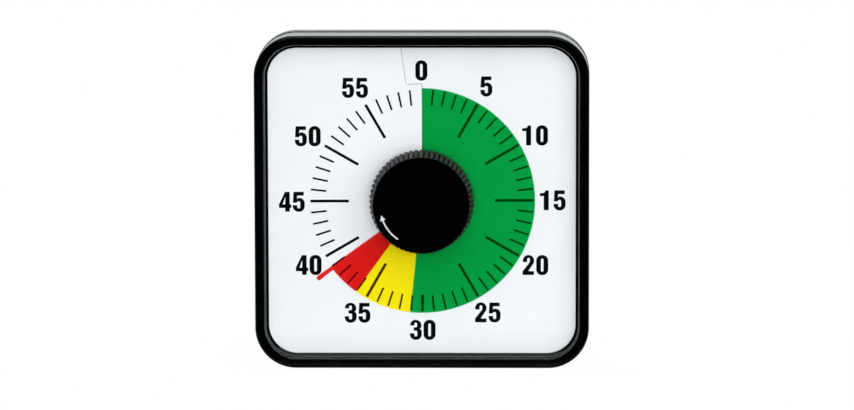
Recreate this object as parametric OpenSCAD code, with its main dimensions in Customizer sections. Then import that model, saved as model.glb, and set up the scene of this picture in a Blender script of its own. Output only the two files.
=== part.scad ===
// Visual countdown timer: a wind-up sixty-minute timer whose colour disc shows the time left.
// The parts are drawn as seen from the front: x to the right, y up, z out of the dial.
// The dial's surface at the zero mark is z = 0. The last step stands the timer up on its base.

/* [Case] */
// Width and height of the square front
case_w = 190; // [188:1:194]
// Depth of the closed case without the knob
case_depth = 42; // [41:0.5:44]
// Radius of the case's outer corners
case_corner_r = 23.5; // [21:0.5:25]
// Height of the rim's front above the dial
rim_rise = 11; // [10.5:0.5:12]
// Depth of the front shell, back to the joint line
front_shell_depth = 24.6; // [24:0.2:25.4]
// Wall thickness of both shells
wall = 2.4; // [2.2:0.1:2.6]
// Radius of the rounding round the back
back_edge_r = 6; // [4:0.5:7]

/* [Window and dial] */
// Half the width of the dial window
window_hw = 87.2; // [86:0.1:88]
// Corner radius of the dial window
window_corner_r = 16.5; // [15:0.5:18]
// Thickness of the clear pane
pane_t = 1.5; // [1.2:0.1:1.6]
// Thickness of the dial sheet
dial_t = 0.6; // [0.5:0.05:0.7]
// Rise of the dial and the disc in one full turn
pitch = 1.6; // [1.5:0.05:1.6]
// Radius of the arc where the dial is cut below the zero
cut_r = 66.5; // [66:0.5:68]
// Angle of the cut's outer part, left of the zero mark
cut_angle = 7.4; // [6:0.2:9]

/* [Colour disc] */
// Radius of the colour disc
disc_r = 63.8; // [60:0.2:65]
// Thickness of the disc's film
film_t = 0.3; // [0.2:0.05:0.35]
// Minutes shown on the dial
minutes_shown = 39; // [30:1:45]
// Angle of the green part
green_angle = 312; // [300:1:320]
// Angle of the yellow part
yellow_angle = 30; // [24:1:36]
// Radius that the pointer reaches
pointer_r = 73.4; // [70:0.2:74]
// Width of the pointer
pointer_w = 1.9; // [1.5:0.1:2.5]

/* [Knob] */
// Diameter of the knob at its base
knob_base_d = 58.8; // [56:0.2:60]
// Diameter of the knob's flat face
knob_face_d = 54; // [50:0.5:55]
// Height of the knob
knob_h = 18; // [17:0.5:20]
// Number of grip ribs round the knob
knob_ribs = 60; // [48:1:66]

/* [Stand and magnets] */
// Length of the fold-out leg
leg_len = 52; // [48:1:54]
// Diameter of the magnets
magnet_d = 18; // [14:1:20]

/* [Hidden] */
$fn = 96;
overlap = 0.01;      // lets a cut pass through a face
past = 1;            // how far a cutter reaches past what it cuts
fuse = 0.5;          // how far a boss or a wall sinks into what it stands on
touch_gap = 0.02;    // between pieces that are pressed or glued together
fit_gap = 0.05;      // radial clearance of a turning fit
screw_gap = 0.3;     // radial clearance of a screw in a through hole

// Case levels and sizes
case_hw = case_w / 2;
z_front = rim_rise;
z_back = z_front - case_depth;
z_joint = z_front - front_shell_depth;
joint_gap = 0.4;
z_rear_rim = z_joint - joint_gap;
inner_hw = case_hw - wall;
back_wall = 2.2;
z_inside_back = z_back + back_wall;
corner_steps = 10;
rim_edge_r = 2;
rim_lip_r = 0.7;
rim_inner_hw = window_hw + 2.9;
tongue_t = 1.4;
tongue_h = 2.4;
tongue_gap = 0.12;

// Window levels
film_gap = (pitch - dial_t - film_t) / 2;
z_film = dial_t + film_gap;
z_lip = 2.35;
z_pane = 3.6;
pane_hw = window_hw + 1.65;
ledge_hw = window_hw + 0.6;
tab_y = 56;
tab_len = 10.6;
tab_out = 1.5;
tab_t = 1;
tab_gap = 0.25;
notch_out = tab_out + 0.3;
notch_top = 1.2;
pane_play = 0.2;
neck_hole_r = 7.8;

// Dial and its carrier
dial_hw = inner_hw - 0.8;
dial_hole_r = 12.4;
cut_gap = 0.35;
cut_spare = 1;
sheet_step = 5;
carrier_hw = inner_hw - 0.2;
z_carrier = -2.4;
carrier_t = 2;
z_carrier_back = z_carrier - carrier_t;
boss_hw = inner_hw - 2.7;
boss_y = 30;
boss_r = 2.8;
boss_gap = 0.1;
boss_hole_r = 0.9;
boss_hole_len = 4;
post_r = 2;
post_ring_r = 80;
post_count = 12;
window_ring = [42, 74];
carrier_bar = 16;
carrier_hole_r = 14.5;
tower_at = 76;
tower_r = 4.5;
carrier_tower_r = 4;
z_tower = -20;

// Screws: each head is a radius and a height
carrier_head = [1.9, 1.2];
carrier_screw_len = carrier_t + 3;
movement_head = [2.2, 1.2];
movement_screw_len = 3.2;
movement_foot_r = 3;
case_head = [3.3, 2.2];
case_screw_r = 1.5;
case_screw_len = 14;
z_case_screw = -25.6;
bell_head = [3.2, 1.2];
bell_screw_r = 1.5;
bell_screw_len = 3;
cross_slot = [1.2, 0.26];

// Colour disc and hub
rest_angle = minutes_shown * 6;
red_angle = 360 - green_angle - yellow_angle;
film_step = 4;
film_inner_r = 11;
pointer_root = 6;
hub_r = 12;
hub_h = 2.4;
z_hub = z_film + pitch * (rest_angle - 180) / 360 + film_t / 2 - hub_h / 2;
spline_r = 7.2;
spline_w = 1.6;
spline_gap = 0.12;

// Knob and main shaft
z_knob = z_pane + pane_t + 0.5;
neck_r = 6;
z_neck = -1.6;
knob_wall = 2.4;
shaft_r = 3;
shaft_back_r = 2;
shaft_foot = 2;
shaft_play = 0.2;
rib_h = 0.5;
rib_steps = 4;
face_edge = 0.6;
cap_t = 4;
z_shaft_top = z_knob + knob_h - cap_t;
z_shaft_end = -24.9;
arbor_hub_r = 4.5;
z_arbor_hub = [-20.3, -14.2];

// Movement levels
z_front_plate = -6;
front_plate_t = 1;
z_back_plate = -22;
back_plate_t = 1;
plate_r = 37;
pillar_ring_r = 33;
pillar_dirs = [20, 116, 220, 300];
pillar_r = 1.8;
pillar_hole_r = 1.2;
pillar_end = 2;
nut_r = 2.4;
nut_h = 1.4;
screw_dirs = [170, 260, 350];
z_main_wheel = -12.6;
main_wheel_t = 1.2;
z_second_wheel = -9.6;
second_wheel_t = 0.8;
z_third_wheel = -7.7;
third_wheel_t = 0.6;
z_escape_wheel = -9.4;
escape_wheel_t = 0.6;
arbor_r = 1;
arbor_play = 0.15;
pivot_r = 0.6;
pivot_sink = 0.2;

// Gear train
main_teeth = 60;
second_teeth = 50;
third_teeth = 40;
main_mod = 0.6;
second_mod = 0.5;
third_mod = 0.4;
pinion_teeth = 10;
pressure = 25;
addendum = 0.85;
dedendum = 1.15;
backlash = 0.1;
flank_steps = 3;
second_pinion = [-13, -11];
third_pinion = [-10, -8.4];
escape_pinion = [-8.2, -6.8];
train_r = 21;
second_dir = 150;
gap_1 = (main_teeth + pinion_teeth) * main_mod / 2;
gap_2 = (second_teeth + pinion_teeth) * second_mod / 2;
gap_3 = (third_teeth + pinion_teeth) * third_mod / 2;
escape_ring_r = 21.5;
third_dir = second_dir - apart(gap_1, train_r, gap_2);
escape_dir = third_dir - apart(train_r, escape_ring_r, gap_3);
second_at = polar(gap_1, second_dir);
third_at = polar(train_r, third_dir);
escape_at = polar(escape_ring_r, escape_dir);
second_rot = mesh_rot(second_dir, main_teeth, 0, pinion_teeth);
third_rot = mesh_rot(dir_to(second_at, third_at), second_teeth, 0, pinion_teeth);
escape_rot = mesh_rot(dir_to(third_at, escape_at), third_teeth, 0, pinion_teeth);

// Lightening holes: how many, their radius and the radius of their ring
main_holes = [5, 2.6, 13];
second_holes = [5, 3, 7];
third_holes = [4, 1.9, 4.5];
escape_holes = [4, 1, 3];

// Ratchet and its click, on the main wheel
ratchet_teeth = 16;
ratchet_r = [5.6, 6.8];
ratchet_back = 4;
ratchet_t = 1;
click_at = polar(10, 40);
click_tip = polar(7, 6);
click_r = 1.5;
click_hw = [1.2, 0.2];
click_t = 0.8;
click_spring_r = 12.2;
click_spring_arc = [20, 62];
click_spring_w = 0.4;
click_spring_t = 0.6;

// Escapement
escape_teeth = 15;
escape_r = 6.5;
escape_root_r = 5;
escape_tip_half = 0.6;
escape_root_half = 5;
pallet_dist = 9.5;
pallet_dir = 20;
pallet_at = escape_at + polar(pallet_dist, pallet_dir);
pallet_span = 30;
pallet_pin_r = 0.35;
pallet_gap = 0.12;
pallet_pin_at = escape_r + pallet_pin_r + pallet_gap;
pallet_pin_len = 2.6;
pallet_hub_r = 2;
pallet_end_r = 0.8;
pallet_arm_w = 1.2;
pallet_t = 0.6;
z_pallet = -11;
balance_r = 6.5;
balance_rim = 1.4;
balance_bar_w = 1.6;
balance_hub_r = 2.2;
z_balance = -17;
balance_t = 1.2;

// Striking work
bell_at = [0, -9];
bell_r = 19;
bell_flat_r = 13;
bell_hole_r = 1.7;
bell_t = 0.8;
z_bell = -27;
z_bell_rim = -23;
bell_rivet_r = 2;
post_foot_r = 3;
hammer_at = [8, -10];
hammer_dir = -47;
hammer_reach = 14.85;
hammer_end = bell_at + polar(hammer_reach, hammer_dir);
hammer_r = 2;
hammer_arm_w = 1.6;
hammer_hub_r = 2.2;
hammer_rivet_r = 1;
hammer_cap = [1.4, 0.6];
hammer_collar_r = 1.8;
hammer_play = 0.1;
z_hammer = -24.4;
hammer_t = 0.8;
tail_at = [6.9, -2.2];
cam_r = 5;
cam_lobes = 3;
cam_drop = 1.6;
cam_arc = 100;
cam_steps = 8;
z_cam = -24.6;
cam_t = 1.2;

// Spring barrel
barrel_r = 14;
barrel_wall = 0.6;
barrel_gap = 0.5;
z_barrel = -20.9;
z_barrel_cover = -14;
spring_t = 0.25;
spring_h = 5.2;
spring_play = 0.3;
spring_turns = 6;
spring_steps = 24;
spring_r = [5, 13.1];

// Fold-out leg
leg_pivot_y = -34;
leg_top_hw = 18.6;
leg_foot_hw = 12.5;
leg_corner = 3;
leg_t = 3.6;
leg_floor_t = 1.4;
leg_recess_y = [13, 45];
leg_sink = 0.2;
pad_len = 7;
pad_t = 1.2;
knuckle_r = 2.1;
z_pivot = z_back + leg_sink + knuckle_r;
pocket_hw = 19;
pocket_wall = 1.6;
pocket_side = 3;
pocket_gap = 0.4;
z_pocket = z_pivot + knuckle_r + pocket_gap;
pin_r = 1.25;
pin_len = 2 * (pocket_hw + 1.5);

// Magnets, hang slot and sound slots
magnet_at = 60;
magnet_t = 3;
magnet_wall = 1.6;
hang_y = 62;
hang_hole_r = 4.5;
hang_slot_w = 5.2;
hang_slot_len = 10;
sound_slots = 7;
sound_pitch = 6;
sound_slot = [2.4, 26];
sound_y = -22;

// A flat point at radius r in direction a, anticlockwise from the right
function polar(r, a) = [r * cos(a), r * sin(a)];
// A flat point at radius r, a degrees clockwise from twelve o'clock
function clock(r, a) = [r * sin(a), r * cos(a)];
function dir_to(a, b) = atan2(b[1] - a[1], b[0] - a[0]);
// Angle between two radii r1 and r2 whose ends are d apart
function apart(r1, r2, d) = acos((r1 * r1 + r2 * r2 - d * d) / (2 * r1 * r2));
function degrees_of(x) = x * 180 / PI;
function involute(a) = degrees_of(tan(a)) - a;
// Turn of a gear with z2 teeth that meshes, in direction a, with one of z1 teeth turned by rot1
function mesh_rot(a, z1, rot1, z2) = a + 180 - (0.5 - (a - rot1) * z1 / 360) * 360 / z2;
// Corner radius of the case's outline at half width hw
function corner_r(hw) =
    window_corner_r + (hw - window_hw) * (case_corner_r - window_corner_r) / (case_hw - window_hw);
// Points round a square with rounded corners
function outline(hw, r) = [for (q = [0:3]) for (i = [0:corner_steps])
    let (a = 90 * q + 90 * i / corner_steps, c = hw - r)
    [(q == 0 || q == 3 ? c : -c) + r * cos(a), (q < 2 ? c : -c) + r * sin(a)]];
// Distance from the centre to that square's edge, a degrees clockwise from twelve
function rim_r(a, hw, r) =
    let (u = [abs(sin(a)), abs(cos(a))], t = hw / max(u), c = hw - r, along = (u[0] + u[1]) * c)
    t * min(u) <= c ? t : along + sqrt(along * along - 2 * c * c + r * r);
// Outline of an involute gear
function gear_points(z, m, rot) =
    let (rp = m * z / 2, rb = rp * cos(pressure), ra = rp + addendum * m, rr = rp - dedendum * m,
        half = 90 / z - degrees_of(backlash / 2 / rp) + involute(pressure), start = max(rb, rr),
        side = [for (i = [0:flank_steps]) let (r = start + (ra - start) * i / flank_steps)
            [r, half - involute(acos(rb / r))]],
        flank = rr < rb ? concat([[rr, half]], side) : side, n = len(flank))
    [for (k = [0:z - 1]) each concat(
        [for (i = [0:n - 1]) polar(flank[i][0], rot + 360 * k / z - flank[i][1])],
        [for (i = [n - 1:-1:0]) polar(flank[i][0], rot + 360 * k / z + flank[i][1])])];

// Stands the timer on its base, with its front to -Y
module upright() translate([0, (z_back + z_knob + knob_h) / 2, case_hw]) rotate([90, 0, 0]) children();

module at_z(z) translate([0, 0, z]) children();

module disc(r, z, h) at_z(z) cylinder(r = r, h = h);

// Closed band that follows the case's outline, from a profile of half widths and levels
module swept_band(profile) {
    rings = len(profile);
    count = 4 * (corner_steps + 1);
    polyhedron([for (p = profile) for (q = outline(p[0], corner_r(p[0]))) [q[0], q[1], p[1]]],
        [for (j = [0:rings - 1]) for (i = [0:count - 1])
            let (next = (j + 1) % rings, side = (i + 1) % count)
            [j * count + i, next * count + i, next * count + side, j * count + side]]);
}

// Solid block that follows the case's outline, from the bottom ring to the top ring
module swept_block(profile) {
    rings = len(profile);
    count = 4 * (corner_steps + 1);
    polyhedron([for (p = profile) for (q = outline(p[0], corner_r(p[0]))) [q[0], q[1], p[1]]],
        concat([[for (i = [0:count - 1]) i], [for (i = [count - 1:-1:0]) (rings - 1) * count + i]],
            [for (j = [0:rings - 2]) for (i = [0:count - 1]) let (side = (i + 1) % count)
                [j * count + i, (j + 1) * count + i, (j + 1) * count + side, j * count + side]]));
}

module rounded_square(hw, r) {
    square([2 * hw, 2 * (hw - r)], center = true);
    square([2 * (hw - r), 2 * hw], center = true);
    for (x = [-1, 1], y = [-1, 1]) translate([x, y] * (hw - r)) circle(r);
}

// Sheet that climbs like a screw thread from angle a0 to a1, with an outer radius that is a function
module climbing_sheet(a0, a1, inner_r, outer_r, z0, t, step) {
    n = ceil((a1 - a0) / step);
    points = [for (i = [0:n]) let (a = a0 + (a1 - a0) * i / n, z = z0 + pitch * a / 360,
        inside = clock(inner_r, a), outside = clock(outer_r(a), a))
        each [[inside[0], inside[1], z], [outside[0], outside[1], z],
            [outside[0], outside[1], z + t], [inside[0], inside[1], z + t]]];
    sides = [for (i = [0:n - 1]) for (j = [0:3])
        let (a = i * 4 + (j + 1) % 4, b = i * 4 + j, c = b + 4, d = a + 4) each [[a, b, c], [a, c, d]]];
    polyhedron(points, concat([[0, 1, 2, 3], [4 * n + 3, 4 * n + 2, 4 * n + 1, 4 * n]], sides));
}

// Flat sector from angle a0 to a1, clockwise from twelve
module sector(a0, a1, r0, r1)
    polygon(concat([for (i = [0:4]) clock(r0, a0 + (a1 - a0) * i / 4)],
        [for (i = [4:-1:0]) clock(r1, a0 + (a1 - a0) * i / 4)]));

module at_tabs() for (x = [-1, 1], y = [-1, 1]) translate([x * pane_hw, y * tab_y]) children();

module at_bosses() for (x = [-1, 1], y = [-1, 1]) translate([x * boss_hw, y * boss_y]) children();

module at_towers() for (x = [-1, 1], y = [-1, 1]) translate([x, y] * tower_at) children();

module at_magnets() for (x = [-1, 1], y = [-1, 1]) translate([x, y] * magnet_at) children();

module around(dirs, r) for (a = dirs) translate(polar(r, a)) children();

module from_to(r, z0, z1) disc(r, z0, z1 - z0);

// Screw whose head lies behind its seat at z, with the shank towards the front
module screw(z, head, shank_r, shank_len) difference() {
    union() {
        disc(head[0], z - head[1], head[1]);
        disc(shank_r, z - overlap, shank_len + overlap);
    }
    for (a = [0, 90]) at_z(z - head[1]) rotate(a)
        cube([head[0] * cross_slot[0], head[0] * cross_slot[1], head[1]], center = true);
}

// Steel arbor between the movement plates, with a pinion between two levels
module geared_arbor(at, m, rot, levels) {
    translate([at[0], at[1], levels[0]]) linear_extrude(levels[1] - levels[0])
        polygon(gear_points(pinion_teeth, m, rot));
    plain_arbor(at);
}

module plain_arbor(at) translate(at) {
    from_to(arbor_r, z_back_plate + back_plate_t + arbor_play, z_front_plate - arbor_play);
    from_to(pivot_r, z_back_plate + pivot_sink, z_front_plate + front_plate_t - pivot_sink);
}

module ring_of_holes(holes) around([for (i = [1:holes[0]]) 360 * i / holes[0]], holes[2]) circle(holes[1]);

// Brass wheel with round lightening holes and a tight bore
module train_wheel(at, teeth, m, z, t, bore_r, holes) translate(at) at_z(z) linear_extrude(t) difference() {
    polygon(gear_points(teeth, m, 0));
    circle(bore_r + touch_gap);
    ring_of_holes(holes);
}

module front_bezel() color("black") difference() {
    union() {
        swept_band(concat(
            [[inner_hw, z_joint], [case_hw, z_joint]],
            [for (a = [0:22.5:90])
                [case_hw - rim_edge_r * (1 - cos(a)), z_front - rim_edge_r * (1 - sin(a))]],
            [for (a = [0:45:90])
                [rim_inner_hw + rim_lip_r * (1 - sin(a)), z_front - rim_lip_r * (1 - cos(a))]],
            [[pane_hw + tab_gap, z_pane + pane_t + pane_play], [pane_hw + tab_gap, z_pane],
                [ledge_hw, z_pane], [window_hw, z_lip], [inner_hw, z_lip]]));
        at_bosses() from_to(boss_r, z_carrier, z_lip + fuse);
    }
    at_bosses() disc(boss_hole_r, z_carrier - overlap, boss_hole_len);
    at_tabs() at_z(z_pane - tab_gap / 2) linear_extrude(pane_t + notch_top)
        square([2 * notch_out, tab_len + 2 * tab_gap], center = true);
}

module front_pane() color("white", 0.3) difference() {
    union() {
        at_z(z_pane) linear_extrude(pane_t) rounded_square(pane_hw, corner_r(pane_hw));
        at_tabs() at_z(z_pane) linear_extrude(tab_t) square([2 * tab_out, tab_len], center = true);
    }
    disc(neck_hole_r, z_pane - overlap, pane_t + 2 * overlap);
}

module dial_plate() color("whitesmoke") difference() {
    climbing_sheet(-cut_angle, 360, dial_hole_r, function(a) rim_r(a, dial_hw, corner_r(dial_hw)),
        0, dial_t, sheet_step);
    at_z(-past) linear_extrude(past + dial_t + film_gap)
        sector(-cut_angle - cut_spare, cut_gap / 2, 0, cut_r);
    at_z(dial_t + film_gap) linear_extrude(pitch)
        sector(-cut_angle - cut_gap, cut_spare, cut_r, 2 * case_hw);
    at_bosses() from_to(boss_r + boss_gap, -past, pitch + dial_t + past);
}

module dial_carrier() color("dimgray") difference() {
    union() {
        at_z(z_carrier_back) linear_extrude(carrier_t) rounded_square(carrier_hw, corner_r(carrier_hw));
        for (i = [0:post_count - 1]) let (a = 360 * (i + 0.5) / post_count)
            translate(clock(post_ring_r, a))
                from_to(post_r, z_carrier - overlap, pitch * a / 360 - touch_gap);
        at_towers() from_to(carrier_tower_r, z_tower + touch_gap, z_carrier_back + touch_gap);
        around(screw_dirs, pillar_ring_r)
            from_to(movement_foot_r, z_front_plate + front_plate_t + touch_gap, z_carrier_back + touch_gap);
    }
    at_z(z_carrier_back - overlap) linear_extrude(carrier_t + 2 * overlap) {
        circle(carrier_hole_r);
        difference() {
            circle(window_ring[1]);
            circle(window_ring[0]);
            for (a = [0, 90]) rotate(a) square([2 * case_hw, carrier_bar], center = true);
        }
    }
    at_bosses() disc(boss_hole_r + screw_gap, z_carrier_back - overlap, carrier_t + 2 * overlap);
    at_towers() from_to(case_screw_r + touch_gap, z_tower - past, z_case_screw + case_screw_len + past);
    around(screw_dirs, pillar_ring_r)
        disc(pillar_hole_r + touch_gap, z_carrier_back - past, carrier_t + 2 * past);
}

module carrier_screws() color("silver") at_bosses()
    screw(z_carrier_back - touch_gap, carrier_head, boss_hole_r - touch_gap, carrier_screw_len);

module movement_screws() color("silver") around(screw_dirs, pillar_ring_r)
    screw(z_front_plate - touch_gap, movement_head, pillar_hole_r, movement_screw_len);

module case_screws() color("dimgray") at_towers()
    screw(z_case_screw - touch_gap, case_head, case_screw_r, case_screw_len);

module magnets() color("gray") at_magnets() disc(magnet_d / 2, z_back, magnet_t);

// Flat outline of the pocket that the folded leg lies in, grown by its walls
module pocket_outline(side, wall_t)
    translate([-pocket_hw - side, leg_pivot_y - leg_len - pocket_gap - wall_t])
        square([2 * (pocket_hw + side), leg_len + knuckle_r + 2 * (pocket_gap + wall_t)]);

module rear_housing() color("black") difference() {
    union() {
        difference() {
            swept_block(concat(
                [for (a = [0:18:90])
                    [case_hw - back_edge_r * (1 - sin(a)), z_back + back_edge_r * (1 - cos(a))]],
                [[case_hw, z_rear_rim]]));
            at_z(z_inside_back) linear_extrude(case_depth) rounded_square(inner_hw, corner_r(inner_hw));
        }
        at_z(z_inside_back - fuse)
            linear_extrude(z_rear_rim + tongue_h - z_inside_back + fuse) difference() {
                rounded_square(inner_hw - tongue_gap, corner_r(inner_hw));
                rounded_square(inner_hw - tongue_t, corner_r(inner_hw - tongue_t));
            }
        at_towers() from_to(tower_r, z_inside_back - fuse, z_tower);
        at_magnets()
            from_to(magnet_d / 2 + magnet_wall, z_inside_back - fuse, z_back + magnet_t + magnet_wall);
        at_z(z_inside_back - fuse) linear_extrude(z_pocket + pocket_wall - z_inside_back + fuse)
            pocket_outline(pocket_side, pocket_wall);
    }
    at_z(z_back - past) linear_extrude(z_pocket - z_back + past) pocket_outline(0, 0);
    translate([-pin_len / 2 - touch_gap, leg_pivot_y, z_pivot]) rotate([0, 90, 0])
        cylinder(r = pin_r + touch_gap, h = pin_len + 2 * touch_gap);
    at_towers() {
        from_to(case_screw_r + screw_gap, z_back, z_tower + past);
        from_to(case_head[0] + screw_gap, z_back - past, z_case_screw);
    }
    at_magnets() from_to(magnet_d / 2 + touch_gap, z_back - past, z_back + magnet_t + touch_gap);
    at_z(z_back - past) linear_extrude(back_wall + 2 * past) {
        translate([0, hang_y]) circle(hang_hole_r);
        translate([-hang_slot_w / 2, hang_y]) square([hang_slot_w, hang_slot_len]);
        translate([0, hang_y + hang_slot_len]) circle(hang_slot_w / 2);
        for (i = [0:sound_slots - 1])
            translate([(i - (sound_slots - 1) / 2) * sound_pitch - sound_slot[0] / 2, sound_y])
                square(sound_slot);
    }
}

module knob() color("black") difference() {
    union() {
        difference() {
            ribbed_grip();
            disc(knob_face_d / 2 - knob_wall, z_knob - overlap, knob_h - knob_wall);
        }
        from_to(neck_r, z_neck, z_knob + knob_h - knob_wall + past);
        for (a = [0, 180]) rotate(a) translate([0, -spline_w / 2, z_neck])
            cube([spline_r, spline_w, z_knob - z_neck]);
    }
    from_to(shaft_r + touch_gap, z_neck - past, z_shaft_top);
}

// Tapered grip with ribs that fade out at the flat face. A level is a radius, a height and the ribs' share
module ribbed_grip() {
    face_r = knob_face_d / 2;
    levels = [[knob_base_d / 2, 0, 1], [face_r + face_edge / 2, knob_h - 2 * face_edge, 1],
        [face_r, knob_h - face_edge, 0], [face_r - face_edge, knob_h, 0]];
    last = len(levels) - 1;
    steps = knob_ribs * rib_steps;
    ring = [for (p = levels) for (i = [0:steps - 1])
        let (groove = rib_h * p[2] * (1 - cos(360 * i / rib_steps)) / 2,
            at = polar(p[0] - groove, 360 * i / steps))
        [at[0], at[1], z_knob + p[1]]];
    polyhedron(ring, concat([[for (i = [0:steps - 1]) i], [for (i = [steps - 1:-1:0]) last * steps + i]],
        [for (j = [0:last - 1]) for (i = [0:steps - 1])
            let (a = j * steps + i, b = j * steps + (i + 1) % steps)
            each [[a, a + steps, b + steps], [a, b + steps, b]]]));
}

module disc_hub() color("white") difference() {
    disc(hub_r, z_hub, hub_h);
    disc(neck_r + fit_gap, z_hub - past, hub_h + 2 * past);
    for (a = [0, 180]) rotate(a) translate([0, -spline_w / 2 - spline_gap, z_hub - past])
        cube([spline_r + spline_gap, spline_w + 2 * spline_gap, hub_h + 2 * past]);
}

module film(a0, a1) climbing_sheet(a0, a1, film_inner_r, function(a) disc_r, z_film, film_t, film_step);

module disc_green() color("green") film(rest_angle - 360, rest_angle - red_angle - yellow_angle);

module disc_yellow() color("gold") film(rest_angle - red_angle - yellow_angle, rest_angle - red_angle);

// The pointer is a tongue of the red part, along the film's leading edge
module disc_red() color("red") {
    film(rest_angle - red_angle, rest_angle);
    rotate(-rest_angle) at_z(z_film + pitch * rest_angle / 360) linear_extrude(film_t) {
        translate([-pointer_w, disc_r - pointer_root])
            square([pointer_w, pointer_r - pointer_w / 2 - disc_r + pointer_root]);
        translate([-pointer_w / 2, pointer_r - pointer_w / 2]) circle(pointer_w / 2);
    }
}

module main_shaft() color("silver") {
    from_to(shaft_r, z_main_wheel - shaft_foot, z_shaft_top - shaft_play);
    from_to(arbor_hub_r, z_arbor_hub[0], z_arbor_hub[1]);
    from_to(shaft_back_r, z_shaft_end, z_arbor_hub[0] + past);
}

module main_wheel() color("goldenrod")
    train_wheel([0, 0], main_teeth, main_mod, z_main_wheel, main_wheel_t, shaft_r, main_holes);

module on_main_wheel(t) at_z(z_main_wheel + main_wheel_t + touch_gap) linear_extrude(t) children();

module ratchet_wheel() color("silver") on_main_wheel(ratchet_t) difference() {
    polygon([for (i = [1:ratchet_teeth]) let (a = 360 * i / ratchet_teeth)
        each [polar(ratchet_r[1], a), polar(ratchet_r[0], a + ratchet_back)]]);
    circle(shaft_r + touch_gap);
}

module click_pawl() color("silver") on_main_wheel(click_t) translate(click_at) {
    circle(click_r);
    rotate(dir_to(click_at, click_tip))
        polygon([[0, -click_hw[0]], [norm(click_tip - click_at), -click_hw[1]], [0, click_hw[0]]]);
}

module click_spring() color("silver") on_main_wheel(click_spring_t)
    sector(click_spring_arc[0], click_spring_arc[1], click_spring_r, click_spring_r + click_spring_w);

// Snail with one drop for each lobe
module strike_cam() color("goldenrod") at_z(z_cam) linear_extrude(cam_t) difference() {
    polygon([for (i = [cam_lobes - 1:-1:0]) each [for (k = [0:cam_steps])
        polar(cam_r - cam_drop * k / cam_steps, 360 * i / cam_lobes - cam_arc * k / cam_steps)]]);
    circle(shaft_back_r + touch_gap);
}

module second_arbor() color("silver") geared_arbor(second_at, main_mod, second_rot, second_pinion);

module second_wheel() color("goldenrod")
    train_wheel(second_at, second_teeth, second_mod, z_second_wheel, second_wheel_t, arbor_r, second_holes);

module third_arbor() color("silver") geared_arbor(third_at, second_mod, third_rot, third_pinion);

module third_wheel() color("goldenrod")
    train_wheel(third_at, third_teeth, third_mod, z_third_wheel, third_wheel_t, arbor_r, third_holes);

module escape_arbor() color("silver") geared_arbor(escape_at, third_mod, escape_rot, escape_pinion);

// Turned so that the pallet pins stand a quarter of a tooth away from the nearest tips
module escape_wheel() color("goldenrod") translate(escape_at) at_z(z_escape_wheel)
    rotate(pallet_dir + pallet_span + 90 / escape_teeth) linear_extrude(escape_wheel_t) difference() {
        polygon([for (i = [1:escape_teeth]) let (a = 360 * i / escape_teeth)
            each [polar(escape_root_r, a - escape_root_half), polar(escape_r, a - escape_tip_half),
                polar(escape_r, a + escape_tip_half), polar(escape_root_r, a + escape_root_half)]]);
        circle(arbor_r + touch_gap);
        ring_of_holes(escape_holes);
    }

module pallet_arbor() color("silver") plain_arbor(pallet_at);

module pallet_lever() color("silver") {
    pins = [for (s = [-1, 1]) escape_at + polar(pallet_pin_at, pallet_dir + s * pallet_span)];
    at_z(z_pallet) linear_extrude(pallet_t) difference() {
        union() {
            translate(pallet_at) circle(pallet_hub_r);
            for (p = pins) {
                translate(p) circle(pallet_end_r);
                bar(pallet_at, p, pallet_arm_w);
            }
        }
        translate(pallet_at) circle(arbor_r + touch_gap);
    }
    for (p = pins) translate(p) disc(pallet_pin_r, z_pallet + pallet_t / 2, pallet_pin_len);
}

// Flat bar of width w from point a to point b
module bar(a, b, w) translate(a) rotate(dir_to(a, b)) translate([0, -w / 2]) square([norm(b - a), w]);

module balance_wheel() color("goldenrod") translate(pallet_at) at_z(z_balance) linear_extrude(balance_t)
    difference() {
        union() {
            difference() {
                circle(balance_r);
                circle(balance_r - balance_rim);
            }
            square([2 * balance_r - balance_rim, balance_bar_w], center = true);
            circle(balance_hub_r);
        }
        circle(arbor_r + touch_gap);
    }

module plate_outline(main_r) difference() {
    circle(plate_r);
    circle(main_r + fit_gap);
    for (p = [second_at, third_at, escape_at, pallet_at]) translate(p) circle(pivot_r + fit_gap);
    around(pillar_dirs, pillar_ring_r) circle(pillar_hole_r + touch_gap);
}

module front_plate() color("goldenrod") at_z(z_front_plate) linear_extrude(front_plate_t) difference() {
    plate_outline(shaft_r);
    around(screw_dirs, pillar_ring_r) circle(pillar_hole_r + screw_gap);
}

module back_plate() color("goldenrod") at_z(z_back_plate) linear_extrude(back_plate_t) difference() {
    plate_outline(shaft_back_r);
    translate(bell_at) circle(bell_rivet_r + touch_gap);
    translate(hammer_at) circle(arbor_r + touch_gap);
}

module pillars() color("silver") around(pillar_dirs, pillar_ring_r) {
    from_to(pillar_r, z_back_plate + back_plate_t + touch_gap, z_front_plate - touch_gap);
    from_to(pillar_hole_r, z_back_plate - pillar_end, z_front_plate + front_plate_t);
}

module pillar_nuts() color("silver") around(pillar_dirs, pillar_ring_r) difference() {
    at_z(z_back_plate - nut_h - touch_gap) cylinder(r = nut_r, h = nut_h, $fn = 6);
    from_to(pillar_hole_r + touch_gap, z_back_plate - nut_h - past, z_back_plate);
}

module spring_barrel() color("silver") difference() {
    from_to(barrel_r, z_barrel, z_barrel_cover);
    from_to(barrel_r - barrel_wall, z_barrel + barrel_wall, z_barrel_cover + past);
    disc(shaft_back_r + barrel_gap, z_barrel - past, barrel_wall + 2 * past);
}

module barrel_cover() color("silver") difference() {
    disc(barrel_r, z_barrel_cover + touch_gap, barrel_wall);
    disc(shaft_r + barrel_gap, z_barrel_cover - past, barrel_wall + 2 * past);
}

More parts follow.
